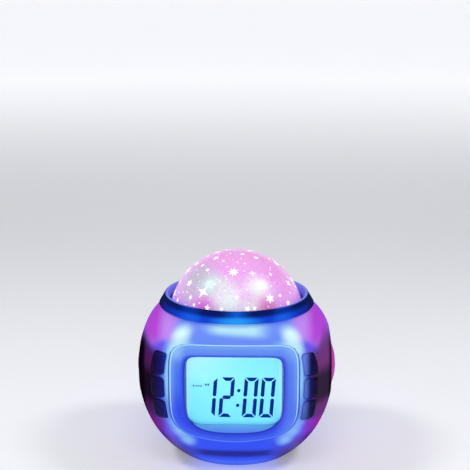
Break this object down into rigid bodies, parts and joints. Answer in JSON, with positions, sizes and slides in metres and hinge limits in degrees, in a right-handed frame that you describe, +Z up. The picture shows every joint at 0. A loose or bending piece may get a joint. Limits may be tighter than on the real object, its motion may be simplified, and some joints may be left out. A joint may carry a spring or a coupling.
{
  "type": "star projector alarm clock",
  "caption": "Rounded desk alarm clock with a lit digital display, corner push buttons, a side lens and speaker, and a star dome that projects stars upwards.",
  "frame": {"origin": "centre of the underside, at the height of the surface that the feet stand on", "axes": "+Z up along the dome's axis, -Y out of the display, +X to the right of someone who faces the display"},
  "size_m": [0.1044, 0.0916, 0.1068],
  "materials": {
    "shell_plastic": "gloss",
    "bezel_plastic": "gloss",
    "ring_plastic": "gloss",
    "dome_plastic": "gloss",
    "window_plastic": "gloss",
    "lcd": "gloss",
    "guide_plastic": "satin",
    "white_plastic": "satin",
    "strip_rubber": "matte",
    "circuit_board": "satin",
    "chip_resin": "satin",
    "screw_steel": "satin",
    "button_plastic": "gloss",
    "switch_plastic": "matte",
    "plunger_plastic": "matte",
    "lamp": "gloss",
    "grille_plastic": "satin",
    "trim_plastic": "gloss",
    "basket_steel": "satin",
    "cone_paper": "matte",
    "magnet_steel": "satin",
    "lens_plastic": "gloss",
    "tray_plastic": "matte",
    "cell_case": "satin",
    "contact_steel": "satin",
    "foot_rubber": "matte"
  },
  "bodies": {
    "clock_body": {"front_shell": "shell_plastic", "rear_shell": "shell_plastic", "front_bezel": "bezel_plastic", "display_window": "window_plastic", "lcd_glass": "lcd", "lcd_backlight": "guide_plastic", "lcd_holder": "white_plastic", "contact_strips": "strip_rubber", "main_board": "circuit_board", "main_chip": "chip_resin", "main_board_screws": "screw_steel", "left_tact_switches": "switch_plastic", "right_tact_switches": "switch_plastic", "left_switch_board": "circuit_board", "right_switch_board": "circuit_board", "switch_board_screws": "screw_steel", "top_ring": "ring_plastic", "star_dome": "dome_plastic", "lamp_reflector": "white_plastic", "lamp_board": "circuit_board", "projection_leds": "lamp", "lamp_screws": "screw_steel", "left_speaker_grille": "grille_plastic", "left_trim_ring": "trim_plastic", "speaker_frame": "basket_steel", "speaker_cone": "cone_paper", "speaker_magnet": "magnet_steel", "right_star_lens": "lens_plastic", "right_trim_ring": "trim_plastic", "side_lamp_cup": "white_plastic", "side_lamp_board": "circuit_board", "side_led": "lamp", "battery_tray": "tray_plastic", "battery_cells": "cell_case", "battery_contacts": "contact_steel", "base_plate": "shell_plastic", "rubber_feet": "foot_rubber", "base_screws": "screw_steel", "shell_screws": "screw_steel"},
    "left_upper_button": {"button_left_upper": "button_plastic", "plunger_left_upper": "plunger_plastic"},
    "left_middle_button": {"button_left_middle": "button_plastic", "plunger_left_middle": "plunger_plastic"},
    "left_lower_button": {"button_left_lower": "button_plastic", "plunger_left_lower": "plunger_plastic"},
    "right_upper_button": {"button_right_upper": "button_plastic", "plunger_right_upper": "plunger_plastic"},
    "right_middle_button": {"button_right_middle": "button_plastic", "plunger_right_middle": "plunger_plastic"},
    "right_lower_button": {"button_right_lower": "button_plastic", "plunger_right_lower": "plunger_plastic"},
    "battery_door": {"battery_door": "shell_plastic"}
  },
  "joints": [
    {"name": "left_upper_press", "type": "slide", "parent": "clock_body", "child": "left_upper_button", "axis": [0.5446, 0.8387, 0], "range_m": [0, 0.0008], "stiffness_N_per_m": 600, "springref_m": -0.001},
    {"name": "left_middle_press", "type": "slide", "parent": "clock_body", "child": "left_middle_button", "axis": [0.5446, 0.8387, 0], "range_m": [0, 0.0008], "stiffness_N_per_m": 600, "springref_m": -0.001},
    {"name": "left_lower_press", "type": "slide", "parent": "clock_body", "child": "left_lower_button", "axis": [0.5446, 0.8387, 0], "range_m": [0, 0.0008], "stiffness_N_per_m": 600, "springref_m": -0.001},
    {"name": "right_upper_press", "type": "slide", "parent": "clock_body", "child": "right_upper_button", "axis": [-0.5446, 0.8387, 0], "range_m": [0, 0.0008], "stiffness_N_per_m": 600, "springref_m": -0.001},
    {"name": "right_middle_press", "type": "slide", "parent": "clock_body", "child": "right_middle_button", "axis": [-0.5446, 0.8387, 0], "range_m": [0, 0.0008], "stiffness_N_per_m": 600, "springref_m": -0.001},
    {"name": "right_lower_press", "type": "slide", "parent": "clock_body", "child": "right_lower_button", "axis": [-0.5446, 0.8387, 0], "range_m": [0, 0.0008], "stiffness_N_per_m": 600, "springref_m": -0.001},
    {"name": "battery_door_lift", "type": "slide", "parent": "clock_body", "child": "battery_door", "axis": [0, 1, 0], "range_m": [0, 0.025]}
  ]
}
